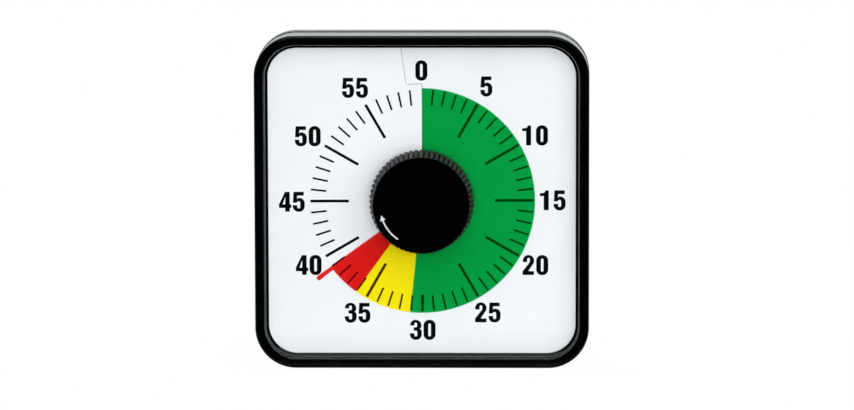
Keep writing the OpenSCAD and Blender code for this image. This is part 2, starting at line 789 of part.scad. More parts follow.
module mainspring() color("slategray") at_z(z_barrel + barrel_wall + spring_play) linear_extrude(spring_h) {
    steps = spring_turns * spring_steps;
    rise = (spring_r[1] - spring_r[0]) / steps;
    turn = 360 / spring_steps;
    polygon(concat([for (i = [0:steps]) polar(spring_r[0] + rise * i, turn * i)],
        [for (i = [steps:-1:0]) polar(spring_r[0] + rise * i + spring_t, turn * i)]));
}

module hammer_pivot() color("silver") translate(hammer_at) {
    from_to(arbor_r, z_hammer - hammer_t, z_back_plate + back_plate_t);
    from_to(hammer_collar_r, z_hammer + hammer_t + hammer_play, z_back_plate - touch_gap);
}

module hammer_arm() color("silver") at_z(z_hammer) linear_extrude(hammer_t) difference() {
    union() {
        translate(hammer_at) circle(hammer_hub_r);
        for (p = [hammer_end, tail_at]) bar(hammer_at, p, hammer_arm_w);
        translate(tail_at) circle(hammer_arm_w / 2);
    }
    translate(hammer_at) circle(arbor_r + fit_gap);
    translate(hammer_end) circle(hammer_rivet_r);
}

// Weight that is riveted to the arm's end
module hammer_head() color("goldenrod") translate(hammer_end) {
    disc(hammer_r, z_hammer + hammer_t + touch_gap, hammer_t);
    disc(hammer_rivet_r - touch_gap, z_hammer - hammer_cap[1], hammer_t + 2 * hammer_cap[1]);
    from_to(hammer_cap[0], z_hammer - hammer_cap[1], z_hammer - touch_gap);
}

module bell_post() color("silver") translate(bell_at) difference() {
    union() {
        from_to(bell_rivet_r, z_back_plate - past, z_back_plate + back_plate_t);
        from_to(post_foot_r, z_bell + bell_t + touch_gap, z_back_plate - touch_gap);
    }
    disc(bell_screw_r, z_bell, bell_screw_len + fuse);
}

// Half of the bell's section: a flat crown, then a quarter of an ellipse out to the rim
function bell_side(t) =
    let (flare = bell_r - t - bell_flat_r, drop = z_bell_rim - z_bell - t)
    [for (a = [0:15:90]) [bell_flat_r + flare * sin(a), z_bell + t + drop * (1 - cos(a))]];

module bell() color("lightgray") translate(bell_at) rotate_extrude()
    polygon(concat([[bell_hole_r, z_bell]], bell_side(0),
        [for (i = [6:-1:0]) bell_side(bell_t)[i]], [[bell_hole_r, z_bell + bell_t]]));

module bell_screw() color("silver") translate(bell_at)
    screw(z_bell - touch_gap, bell_head, bell_screw_r - touch_gap, bell_screw_len);

module across(r, hw, y, z) translate([-hw, y, z]) rotate([0, 90, 0]) cylinder(r = r, h = 2 * hw);

module stand_leg() color("black") {
    y_foot = leg_pivot_y - leg_len;
    difference() {
        union() {
            at_z(z_back + leg_sink) linear_extrude(leg_t)
                polygon([[-leg_top_hw, leg_pivot_y], [leg_top_hw, leg_pivot_y],
                    [leg_foot_hw, y_foot + leg_corner], [leg_foot_hw - leg_corner, y_foot],
                    [leg_corner - leg_foot_hw, y_foot], [-leg_foot_hw, y_foot + leg_corner]]);
            across(knuckle_r, leg_top_hw, leg_pivot_y, z_pivot);
        }
        across(pin_r + fit_gap, pocket_hw, leg_pivot_y, z_pivot);
        at_z(z_back + leg_sink + leg_floor_t) linear_extrude(leg_t)
            translate([leg_corner - leg_foot_hw, y_foot + leg_recess_y[0]])
                square([2 * (leg_foot_hw - leg_corner), leg_recess_y[1] - leg_recess_y[0]]);
        pad_seat(0);
    }
}

module pad_seat(gap) at_z(z_back + leg_sink + leg_t - pad_t) linear_extrude(pad_t + overlap)
    translate([leg_corner - leg_foot_hw + gap, leg_pivot_y - leg_len + leg_corner + gap])
        square([2 * (leg_foot_hw - leg_corner - gap), pad_len - 2 * gap]);

module stand_pin() color("silver") across(pin_r, pin_len / 2, leg_pivot_y, z_pivot);

module stand_pad() color("dimgray") pad_seat(touch_gap);

upright() front_bezel();
upright() rear_housing();
upright() front_pane();
upright() dial_plate();
upright() dial_carrier();
upright() carrier_screws();
upright() case_screws();
upright() magnets();
upright() knob();
upright() disc_hub();
upright() disc_green();
upright() disc_yellow();
upright() disc_red();
upright() main_shaft();
upright() main_wheel();
upright() ratchet_wheel();
upright() click_pawl();
upright() click_spring();
upright() strike_cam();
upright() second_arbor();
upright() second_wheel();
upright() third_arbor();
upright() third_wheel();
upright() escape_arbor();
upright() escape_wheel();
upright() pallet_arbor();
upright() pallet_lever();
upright() balance_wheel();
upright() front_plate();
upright() back_plate();
upright() pillars();
upright() pillar_nuts();
upright() movement_screws();
upright() spring_barrel();
upright() barrel_cover();
upright() mainspring();
upright() hammer_pivot();
upright() hammer_arm();
upright() hammer_head();
upright() bell_post();
upright() bell();
upright() bell_screw();
upright() stand_leg();
upright() stand_pin();
upright() stand_pad();
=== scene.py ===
from math import atan2, ceil, cos, degrees, hypot, pi, radians, sin, sqrt, tan

import bmesh
import bpy
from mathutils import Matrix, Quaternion, Vector


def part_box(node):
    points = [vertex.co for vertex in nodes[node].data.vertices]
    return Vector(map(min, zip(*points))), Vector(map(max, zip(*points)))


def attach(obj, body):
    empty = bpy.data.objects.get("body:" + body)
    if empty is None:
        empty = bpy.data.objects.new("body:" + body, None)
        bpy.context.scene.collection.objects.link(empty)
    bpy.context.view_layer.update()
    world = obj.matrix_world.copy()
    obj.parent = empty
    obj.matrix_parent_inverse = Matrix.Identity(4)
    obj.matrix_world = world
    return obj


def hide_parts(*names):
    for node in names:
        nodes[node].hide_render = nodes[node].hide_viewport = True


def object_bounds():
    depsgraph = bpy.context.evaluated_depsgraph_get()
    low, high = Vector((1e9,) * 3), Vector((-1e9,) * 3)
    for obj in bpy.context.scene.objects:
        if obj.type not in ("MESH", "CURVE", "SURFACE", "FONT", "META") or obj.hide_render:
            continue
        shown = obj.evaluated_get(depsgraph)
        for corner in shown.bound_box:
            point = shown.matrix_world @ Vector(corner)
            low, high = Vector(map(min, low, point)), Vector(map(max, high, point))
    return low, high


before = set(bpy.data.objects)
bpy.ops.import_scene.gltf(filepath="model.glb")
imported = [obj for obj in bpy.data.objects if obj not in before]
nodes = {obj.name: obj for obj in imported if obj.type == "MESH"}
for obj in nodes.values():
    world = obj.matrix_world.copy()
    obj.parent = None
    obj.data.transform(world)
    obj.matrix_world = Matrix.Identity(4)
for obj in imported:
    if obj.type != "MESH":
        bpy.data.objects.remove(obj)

# The timer is drawn as the part is: in millimetres, x to the right, y up, z out of the dial,
# with the dial's middle at x = y = 0 and its back at the zero mark at z = 0.
MM = 0.001
cad_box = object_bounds()
dial_back_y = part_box("dial_plate")[1].y
middle_z = (cad_box[0].z + cad_box[1].z) / 2


def at(x, y, z):
    """A drawn point's place in the frame, in metres."""
    return Vector((x * MM, dial_back_y - z * MM, middle_z + y * MM))


def level(y):
    """The drawn z of a place y of the frame."""
    return (dial_back_y - y) / MM


# ---------------------------------------------------------------- sizes, from the frame
case_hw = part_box("front_bezel")[1].x / MM
z_front, z_joint = level(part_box("front_bezel")[0].y), level(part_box("front_bezel")[1].y)
z_pane_back, z_pane_front = level(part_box("front_pane")[1].y), level(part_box("front_pane")[0].y)
pane_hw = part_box("front_pane")[1].z / MM - middle_z / MM
z_knob_face = level(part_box("knob")[0].y)
rib_gain = 0.4
knob_base_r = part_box("knob")[1].x / MM + rib_gain
film_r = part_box("disc_green")[1].x / MM
dial_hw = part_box("dial_plate")[1].x / MM

# Case and window
case_corner_r = 23.5
ledge_w = 1.65
window_hw = pane_hw - ledge_w
window_corner_r = 16.5
wall = 2.4
rim_edge_r = 1.6
rim_edge_steps = 10
rim_lip_r = 0.8
rim_draft = 0.12
pane_gap = 0.25
pane_bevel = 0.36
rim_inner_hw = pane_hw + pane_gap
ledge_drop = 0.75
z_lip = 2.35
joint_edge_r = 0.8
tab_y, tab_len, tab_t, tab_out = 56.0, 10.6, 1.0, 1.5
tab_overlap = 0.02
notch_out, notch_top = 1.8, 1.2
front_inset = 0.3
corner_steps = 24
edge_steps = 6

# Dial
minutes = 60
minute_turn = 360 / minutes
figure_step = 5
pitch = 1.6
dial_t = 0.6
dial_hole_r = 12.4
cut_r = 66.5
cut_angle = 7.4
cut_gap = 0.35
cut_corner_r = 1.3
slit_turn = 0.12
slit_w = 0.12
ink_t = 0.03
ink_gain = 0.1
print_turn = -0.17
tick_end_r = 63.35
tick_step = 3.0
long_tick = (41.5, 1.6)
short_tick = (54.5, 1.08)
thick_tick = (53.9, 1.6)
figure_r = 74.1
figure_h = 11.15
figure_w = 6.6
figure_gap = 1.25
# Figures that the print sets a little off the even circle, to the right and up
figure_offsets = {5: (-0.35, 0.8), 40: (-0.45, 0.4), 45: (0.2, -0.35), 50: (-0.35, 0.0), 55: (-0.5, 0.35)}

# Colour film
rim_gain = 0.35
pointer_turn = 234.0
pointer_w = 1.9
pointer_w_gain = 0.7
pointer_l_gain = 0.8

# Knob
knob_h = 18.0
knob_face_r = 27.35
knob_ribs = 60
rib_h = 1.0
rib_steps = 10
rib_fade = 1.5
face_edge_r = 0.6
base_chamfer = 0.3
side_gain, edge_gain = 0.35, 0.2
edge_ribs, face_ribs = 0.6, 0.25
side_steps = 8
knob_wall = 2.4
neck_hole_r = 7.8
arrow_r, arrow_w = 23.2, 0.85
arrow_tail, arrow_tip = 214.0, 256.0
arrow_head = (3.0, 3.1)
arrow_steps = 16
# Knob colours with painted light: a painted highlight for the ribs' tops and painted shade for the grooves.
knob_ridge_highlight, knob_groove_shade = (0.068, 0.063, 0.069), (0.005, 0.005, 0.005)


# ---------------------------------------------------------------- mesh helpers
SHARP_ANGLE = 32
WELD_DISTANCE = 1e-7


def new_object(name, points, faces, material, sharp_angle=SHARP_ANGLE):
    """A mesh of drawn points. Its edges over sharp_angle stay sharp and the rest is smooth."""
    mesh = bpy.data.meshes.new(name)
    mesh.from_pydata([at(*p) for p in points], [], faces)
    work = bmesh.new()
    work.from_mesh(mesh)
    bmesh.ops.remove_doubles(work, verts=work.verts, dist=WELD_DISTANCE)
    bmesh.ops.recalc_face_normals(work, faces=work.faces)
    work.to_mesh(mesh)
    work.free()
    obj = bpy.data.objects.new(name, mesh)
    bpy.context.scene.collection.objects.link(obj)
    mesh.materials.append(material)
    smooth(obj, sharp_angle)
    return obj


def smooth(obj, sharp_angle=SHARP_ANGLE):
    for face in obj.data.polygons:
        face.use_smooth = True
    obj.data.set_sharp_from_angle(angle=radians(sharp_angle))


def weigh_normals(obj):
    """Large flat faces keep their own direction next to rounded edges."""
    modifier = obj.modifiers.new("Normals", "WEIGHTED_NORMAL")
    modifier.keep_sharp = True
    modifier.weight = 100


def apply_modifiers(obj):
    """The object's mesh becomes what its modifiers make of it."""
    evaluated = obj.evaluated_get(bpy.context.evaluated_depsgraph_get())
    mesh = bpy.data.meshes.new_from_object(evaluated)
    obj.modifiers.clear()
    obj.data = mesh


def cut(obj, cutter):
    """Takes the cutter's shape out of the object."""
    modifier = obj.modifiers.new("Cut", "BOOLEAN")
    modifier.operation, modifier.solver, modifier.object = "DIFFERENCE", "EXACT", cutter
    apply_modifiers(obj)
    bpy.data.objects.remove(cutter)


def loft(rings, closed):
    """Points and faces of a skin over rings of as many points each. Its ends join up or are capped."""
    count = len(rings[0])
    points = [p for ring in rings for p in ring]
    faces = []
    for j in range(len(rings) if closed else len(rings) - 1):
        below, above = j * count, (j + 1) % len(rings) * count
        for i in range(count):
            k = (i + 1) % count
            faces.append((below + i, below + k, above + k, above + i))
    if not closed:
        last = (len(rings) - 1) * count
        faces.append(tuple(range(count)))
        faces.append(tuple(range(last, last + count)))
    return points, faces


def box_faces():
    return [(0, 1, 3, 2), (4, 6, 7, 5), (0, 4, 5, 1), (2, 3, 7, 6), (0, 2, 6, 4), (1, 5, 7, 3)]


def boxes(spans):
    """Points and faces of boxes, each three (low, high) pairs."""
    points, faces = [], []
    for x, y, z in spans:
        faces += [tuple(len(points) + i for i in f) for f in box_faces()]
        points += [(a, b, c) for a in x for b in y for c in z]
    return points, faces


def corner_r(hw):
    """Corner radius of the case's outline at half width hw."""
    return window_corner_r + (hw - window_hw) * (case_corner_r - window_corner_r) / (case_hw - window_hw)


def outline(hw, z):
    """A square with round corners at level z."""
    r = corner_r(hw)
    c = hw - r
    points = []
    for quarter, (sx, sy) in enumerate(((1, 1), (-1, 1), (-1, -1), (1, -1))):
        for i in range(corner_steps + 1):
            a = radians(90 * (quarter + i / corner_steps))
            points.append((sx * c + r * cos(a), sy * c + r * sin(a), z))
    return points


def ring_inside(r, z):
    """A circle with one point for each point of an outline, in the same directions."""
    return [(r * cos(a), r * sin(a), z) for a in (atan2(p[1], p[0]) for p in outline(case_hw, 0))]


def arc(x, z, r, start, end, steps):
    """Points (half width, level) of an arc round (x, z), with angles from the x axis."""
    turns = [radians(start + (end - start) * i / steps) for i in range(steps + 1)]
    return [(x + r * cos(a), z + r * sin(a)) for a in turns]


def clock(r, a):
    """A flat point at radius r, a degrees clockwise from twelve."""
    return r * sin(radians(a)), r * cos(radians(a))


def clock_angle(x, y):
    return degrees(atan2(x, y)) % 360


# ---------------------------------------------------------------- material helpers
# Most of a noise texture's values lie between these
NOISE_LOW, NOISE_HIGH = 0.3, 0.7


class Nodes:
    """The node tree of a new material or world, with short calls to add to it."""

    def __init__(self, owner, output):
        self.owner = owner
        self.owner.use_nodes = True
        self.tree = self.owner.node_tree
        self.tree.nodes.clear()
        self.out = self.add(output)

    def add(self, kind, **settings):
        node = self.tree.nodes.new(kind)
        for key, value in settings.items():
            setattr(node, key, value)
        return node

    def link(self, source, target):
        self.tree.links.new(source, target)

    def coordinates(self, scale=(1, 1, 1)):
        """Place in millimetres, stretched by scale."""
        place = self.add("ShaderNodeTexCoord")
        mapping = self.add("ShaderNodeMapping")
        mapping.inputs["Scale"].default_value = [s / MM for s in scale]
        self.link(place.outputs["Object"], mapping.inputs["Vector"])
        return mapping.outputs["Vector"]

    def noise(self, size, detail=3, scale=(1, 1, 1), roughness=0.55):
        """Noise whose lumps are about size millimetres across."""
        node = self.add("ShaderNodeTexNoise")
        node.inputs["Scale"].default_value = 1 / size
        node.inputs["Detail"].default_value = detail
        node.inputs["Roughness"].default_value = roughness
        self.link(self.coordinates(scale), node.inputs["Vector"])
        return node.outputs["Fac"]

    def remap(self, value, low, high, start=NOISE_LOW, end=NOISE_HIGH):
        """The value moved from the range start to end into the range low to high, and kept in it."""
        node = self.add("ShaderNodeMapRange")
        for key, number in (("From Min", start), ("From Max", end), ("To Min", low), ("To Max", high)):
            node.inputs[key].default_value = number
        self.link(value, node.inputs["Value"])
        return node.outputs["Result"]

    def colours(self, value, *stops):
        """A colour ramp over value, from (position, colour) stops."""
        node = self.add("ShaderNodeValToRGB")
        ramp = node.color_ramp.elements
        while len(ramp) < len(stops):
            ramp.new(0.5)
        for element, (position, colour) in zip(ramp, stops):
            element.position, element.color = position, (*colour, 1)
        self.link(value, node.inputs["Fac"])
        return node.outputs["Color"]

    def bump(self, height, depth, strength=1.0, after=None):
        """A relief of that depth in millimetres."""
        node = self.add("ShaderNodeBump")
        node.inputs["Strength"].default_value = strength
        node.inputs["Distance"].default_value = depth * MM
        self.link(height, node.inputs["Height"])
        if after is not None:
            self.link(after, node.inputs["Normal"])
        return node.outputs["Normal"]

    def principled(self, **constants):
        shader = self.add("ShaderNodeBsdfPrincipled")
        for key, value in constants.items():
            shader.inputs[key.replace("_", " ")].default_value = value
        return shader

    def math(self, operation, first, second):
        """A Math node over two values, each a socket or a number."""
        node = self.add("ShaderNodeMath", operation=operation)
        for socket, value in zip(node.inputs, (first, second)):
            if isinstance(value, float):
                socket.default_value = value
            else:
                self.link(value, socket)
        return node.outputs["Value"]

    def mix(self, share, first, second):
        """Two shaders mixed; share, a socket or a number, is the second one's part."""
        node = self.add("ShaderNodeMixShader")
        if isinstance(share, float):
            node.inputs["Fac"].default_value = share
        else:
            self.link(share, node.inputs["Fac"])
        self.link(first.outputs[0], node.inputs[1])
        self.link(second.outputs[0], node.inputs[2])
        return node

    def done(self, shader):
        self.link(shader.outputs[0], self.out.inputs["Surface"])
        return self.owner


def new_material(name):
    return Nodes(bpy.data.materials.new(name), "ShaderNodeOutputMaterial")


def srgb(r, g, b):
    """A colour as the eye reads it, 0 to 255, as the linear values that shaders take."""
    return tuple((c / 255 / 12.92) if c <= 10 else ((c / 255 + 0.055) / 1.055) ** 2.4 for c in (r, g, b))


def moulded_plastic(name, colour, roughness, grain, level_of_gloss=0.5, tint=(1, 1, 1)):
    """Moulded plastic with a fine grain, slow waves from shrinkage and uneven gloss."""
    n = new_material(name)
    shader = n.principled(Specular_IOR_Level=level_of_gloss, Specular_Tint=(*tint, 1))
    patches = n.noise(9.0, 4)
    n.link(n.remap(patches, roughness - 0.04, roughness + 0.05), shader.inputs["Roughness"])
    darker = tuple(c * 0.8 for c in colour)
    n.link(n.colours(patches, (NOISE_LOW, darker), (NOISE_HIGH, colour)), shader.inputs["Base Color"])
    fine = n.bump(n.noise(0.35, 2), grain)
    n.link(n.bump(n.noise(28.0, 1), 0.05, after=fine), shader.inputs["Normal"])
    return n.done(shader)


def ribbed_plastic():
    """The knob's plastic, with painted light: the tops of its ribs are painted lighter as a highlight and
    the grooves between them darker as painted shade.
    """
    n = new_material("knob_black")
    shader = n.principled(Specular_IOR_Level=0.07, Specular_Tint=(0.94, 0.96, 1.0, 1))
    place, split = n.add("ShaderNodeTexCoord"), n.add("ShaderNodeSeparateXYZ")
    centred = n.add("ShaderNodeVectorMath", operation="SUBTRACT")
    flat = n.add("ShaderNodeVectorMath", operation="LENGTH")
    centred.inputs[1].default_value = (0, 0, middle_z)
    n.link(place.outputs["Object"], centred.inputs[0])
    n.link(centred.outputs["Vector"], split.inputs[0])
    across = n.add("ShaderNodeCombineXYZ")
    n.link(split.outputs["X"], across.inputs["X"])
    n.link(split.outputs["Z"], across.inputs["Z"])
    n.link(across.outputs["Vector"], flat.inputs[0])
    base_y, face_y = at(0, 0, z_knob_face - knob_h).y, at(0, 0, z_knob_face).y
    cone = n.remap(split.outputs["Y"], knob_base_r * MM, knob_face_r * MM, base_y, face_y)
    depth = n.math("SUBTRACT", cone, flat.outputs["Value"])
    share = n.remap(depth, 0.0, 1.0, 0.0, rib_h * MM)
    wear = n.noise(3.0, 4)
    # Painted light: a painted highlight on the ribs' tops fades to painted shade deep in the grooves.
    n.link(n.colours(share, (0.1, knob_ridge_highlight), (0.6, knob_groove_shade)), shader.inputs["Base Color"])
    n.link(n.remap(wear, 0.46, 0.55), shader.inputs["Roughness"])
    n.link(n.bump(n.noise(0.35, 2), 0.004), shader.inputs["Normal"])
    return n.done(shader)


def brushed_metal(name, colour, roughness, stretch=(1, 1, 14), grain_size=0.5):
    """Metal with fine brushing along one way that changes its gloss, and stains that darken it."""
    n = new_material(name)
    shader = n.principled(Metallic=1.0)
    brushing = n.noise(grain_size, 3, stretch)
    stains = n.noise(5.0, 4)
    darker = tuple(c * 0.72 for c in colour)
    n.link(n.colours(stains, (NOISE_LOW, darker), (0.65, colour)), shader.inputs["Base Color"])
    n.link(n.remap(brushing, roughness - 0.07, roughness + 0.12), shader.inputs["Roughness"])
    n.link(n.bump(brushing, 0.02), shader.inputs["Normal"])
    return n.done(shader)


def printed_ink(name, colour):
    """Matt ink, a little paler where it lies thin."""
    n = new_material(name)
    shader = n.principled(Specular_IOR_Level=0.03)
    cover = n.noise(0.6, 4)
    thin = tuple(c * 1.5 + 0.001 for c in colour)
    n.link(n.colours(cover, (NOISE_LOW, colour), (0.75, thin)), shader.inputs["Base Color"])
    n.link(n.remap(cover, 0.45, 0.6), shader.inputs["Roughness"])
    n.link(n.bump(cover, 0.01), shader.inputs["Normal"])
    return n.done(shader)


def dial_card():
    """White card: slightly cool, with the faintest mottle and fibres."""
    n = new_material("dial_white")
    shader = n.principled(Specular_IOR_Level=0.25)
    mottle = n.noise(14.0, 5)
    shade, card = srgb(241, 242, 246), srgb(244, 245, 249)
    n.link(n.colours(mottle, (NOISE_LOW, shade), (NOISE_HIGH, card)), shader.inputs["Base Color"])
    fibres = n.noise(0.5, 5)
    n.link(n.remap(fibres, 0.5, 0.62), shader.inputs["Roughness"])
    n.link(n.bump(fibres, 0.008), shader.inputs["Normal"])
    return n.done(shader)


def tinted_film(name, through, surface, cover, painted_glow=(0, 0, 0)):
    """Tinted clear film. The share cover of it scatters light from its dye, and the rest lets light through.

    painted_glow is painted light: an emission that makes the film shine by itself, whatever the lamps."""
    n = new_material(name)
    clear = n.add("ShaderNodeBsdfTransparent")
    streaks = n.noise(22.0, 4)
    deeper = tuple(c * 0.995 for c in through)
    n.link(n.colours(streaks, (NOISE_LOW, deeper), (NOISE_HIGH, through)), clear.inputs["Color"])
    dye = n.principled(Specular_IOR_Level=0.12)
    # Painted glow: an emission that lights the film by itself, whatever the lamps.
    dye.inputs["Emission Color"].default_value = (*painted_glow, 1)
    dye.inputs["Emission Strength"].default_value = 1.0 if any(painted_glow) else 0.0
    darker = tuple(c * 0.96 for c in surface)
    n.link(n.colours(streaks, (NOISE_LOW, darker), (NOISE_HIGH, surface)), dye.inputs["Base Color"])
    n.link(n.remap(n.noise(1.5, 3), 0.34, 0.42), dye.inputs["Roughness"])
    return n.done(n.mix(cover, clear, dye))


def clear_acrylic():
    """Clear acrylic sheet: light passes, and only a faint gloss shows on it."""
    n = new_material("clear_pane")
    clear = n.add("ShaderNodeBsdfTransparent")
    clear.inputs["Color"].default_value = (0.985, 0.992, 0.99, 1)
    gloss = n.add("ShaderNodeBsdfGlossy")
    n.link(n.remap(n.noise(30.0, 2), 0.06, 0.1), gloss.inputs["Roughness"])
    edge_on = n.add("ShaderNodeLayerWeight")
    edge_on.inputs["Blend"].default_value = 0.12
    share = n.remap(edge_on.outputs["Fresnel"], 0.0, 0.35, 0.0, 1.0)
    return n.done(n.mix(share, clear, gloss))


def acrylic_edge():
    """The pane's cut edge: sawn and dull, it catches light."""
    n = new_material("pane_edge")
    shader = n.principled(Specular_IOR_Level=0.5)
    marks = n.noise(0.3, 3)
    dark, pale = srgb(118, 124, 124), srgb(140, 146, 146)
    n.link(n.colours(marks, (NOISE_LOW, dark), (NOISE_HIGH, pale)), shader.inputs["Base Color"])
    n.link(n.remap(marks, 0.35, 0.5), shader.inputs["Roughness"])
    return n.done(shader)


case_black = moulded_plastic("case_black", (0.0005, 0.0006, 0.0007), 0.14, 0.002, 0.38, (0.94, 1.0, 0.985))
back_black = moulded_plastic("back_black", (0.0125, 0.0128, 0.0135), 0.3, 0.018, 0.16, (0.96, 1.0, 0.99))
rim_satin = moulded_plastic("rim_satin", (0.009, 0.0105, 0.012), 0.45, 0.006, 0.2, (0.85, 0.95, 1.0))
knob_black = ribbed_plastic()
knob_plate = moulded_plastic("knob_plate", (0.0004, 0.0004, 0.0004), 0.3, 0.001, 0.05)
leg_black = moulded_plastic("leg_black", (0.02, 0.02, 0.021), 0.36, 0.02, 0.2)
inner_grey = moulded_plastic("inner_grey", srgb(96, 98, 100), 0.5, 0.02)
hub_white = moulded_plastic("hub_white", srgb(232, 232, 228), 0.4, 0.01)
rubber = moulded_plastic("rubber", srgb(38, 38, 40), 0.75, 0.03, 0.3)
dial_white = dial_card()
ink_black = printed_ink("ink_black", (0.0012, 0.0013, 0.0016))
ink_white = printed_ink("ink_white", srgb(196, 200, 202))
film_green = tinted_film("film_green", (0.05, 0.61, 0.262), (0.0, 0.45, 0.03), 0.11)
# The yellow film's last colour is a painted glow that makes it shine brighter than the white card, whatever
# the lamps.
film_yellow = tinted_film("film_yellow", (1.0, 0.938, 0.088), (1.0, 0.5, 0.0), 0.02, (2.0, 0.78, 0.0))
film_red = tinted_film("film_red", (0.91, 0.13, 0.12), (0.88, 0.008, 0.01), 0.19)
clear_pane = clear_acrylic()
pane_edge = acrylic_edge()
steel = brushed_metal("steel", (0.56, 0.57, 0.58), 0.26)
sheet_steel = brushed_metal("sheet_steel", (0.5, 0.5, 0.5), 0.36, (1, 14, 1))
spring_steel = brushed_metal("spring_steel", (0.16, 0.19, 0.26), 0.3)
brass = brushed_metal("brass", (0.78, 0.55, 0.22), 0.28, (14, 1, 1))
dark_screw = brushed_metal("dark_screw", (0.07, 0.07, 0.075), 0.34, (1, 1, 1), 0.3)
magnet_nickel = brushed_metal("magnet_nickel", (0.62, 0.61, 0.59), 0.2, (1, 1, 1), 0.8)
bell_nickel = brushed_metal("bell_nickel", (0.66, 0.65, 0.63), 0.16, (1, 10, 1))


# ---------------------------------------------------------------- case
def bezel_profile():
    """Section of the front shell: (half width, level) points, from the joint round the rim to the ledge."""
    inner_hw = case_hw - wall
    outer_hw = case_hw - front_inset
    outer = arc(outer_hw - joint_edge_r, z_joint + joint_edge_r, joint_edge_r, -90, 0, edge_steps)
    front = arc(outer_hw - rim_edge_r, z_front - rim_edge_r, rim_edge_r, 0, 90, rim_edge_steps)
    lip = arc(rim_inner_hw + rim_draft + rim_lip_r, z_front - rim_lip_r, rim_lip_r, 90, 180, edge_steps)
    seat = [(rim_inner_hw, z_pane_back), (window_hw, z_pane_back - ledge_drop), (window_hw, z_lip),
            (inner_hw, z_lip), (inner_hw, z_joint)]
    return outer + front + lip + seat


def is_inner_wall(place):
    """True for the middle of a face of the rim's sloped inner wall."""
    wall_middle = (z_pane_back + z_front - rim_lip_r) / 2
    half_width = max(abs(place.x), abs(place.z - middle_z)) / MM
    return abs(level(place.y) - wall_middle) < 0.1 and half_width < rim_inner_hw + rim_lip_r


def build_bezel():
    profile = bezel_profile()
    points, faces = loft([outline(hw, z) for hw, z in profile], True)
    bezel = new_object("bezel_shell", points, faces, case_black)
    bezel.data.materials.append(rim_satin)
    for face in bezel.data.polygons:
        if is_inner_wall(face.center):
            face.material_index = 1
    spans = []
    for sx in (-1, 1):
        for sy in (-1, 1):
            mid_x, mid_y = sx * pane_hw, sy * tab_y
            reach = tab_len / 2 + pane_gap
            spans.append(((mid_x - notch_out, mid_x + notch_out), (mid_y - reach, mid_y + reach),
                          (z_pane_back - pane_gap / 2, z_pane_front + notch_top)))
    cut(bezel, new_object("notch_cutter", *boxes(spans), case_black))
    smooth(bezel)
    weigh_normals(bezel)
    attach(bezel, "case")
    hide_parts("front_bezel")


def build_pane():
    """Clear sheet with a hole for the knob's neck, four tabs and a bevelled cut edge."""
    edge_hw = pane_hw + pane_gap / 2
    rings = [outline(edge_hw, z_pane_back), outline(edge_hw, z_pane_front - pane_bevel / 2),
             outline(edge_hw - pane_bevel, z_pane_front), ring_inside(neck_hole_r, z_pane_front),
             ring_inside(neck_hole_r, z_pane_back)]
    points, faces = loft(rings, True)
    edge_faces = 2 * len(rings[0])
    spans = []
    for sx in (-1, 1):
        for sy in (-1, 1):
            x = sorted((sx * (pane_hw - tab_overlap), sx * (pane_hw + tab_out)))
            y = (sy * tab_y - tab_len / 2, sy * tab_y + tab_len / 2)
            spans.append((x, y, (z_pane_back, z_pane_back + tab_t)))
    tab_points, tab_faces = boxes(spans)
    faces += [tuple(len(points) + i for i in f) for f in tab_faces]
    pane = new_object("pane_sheet", points + tab_points, faces, clear_pane, sharp_angle=20)
    pane.data.materials.append(pane_edge)
    for face in pane.data.polygons[:edge_faces]:
        face.material_index = 1
    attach(pane, "case")
    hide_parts("front_pane")


# ---------------------------------------------------------------- dial
def rim_r(a, hw):
    """Distance from the middle to the case's outline at half width hw, in direction a."""
    u = sorted((abs(sin(radians(a))), abs(cos(radians(a)))))
    r = corner_r(hw)
    c = hw - r
    straight = hw / u[1]
    if straight * u[0] <= c:
        return straight
    along = (u[0] + u[1]) * c
    return along + sqrt(along * along - 2 * c * c + r * r)


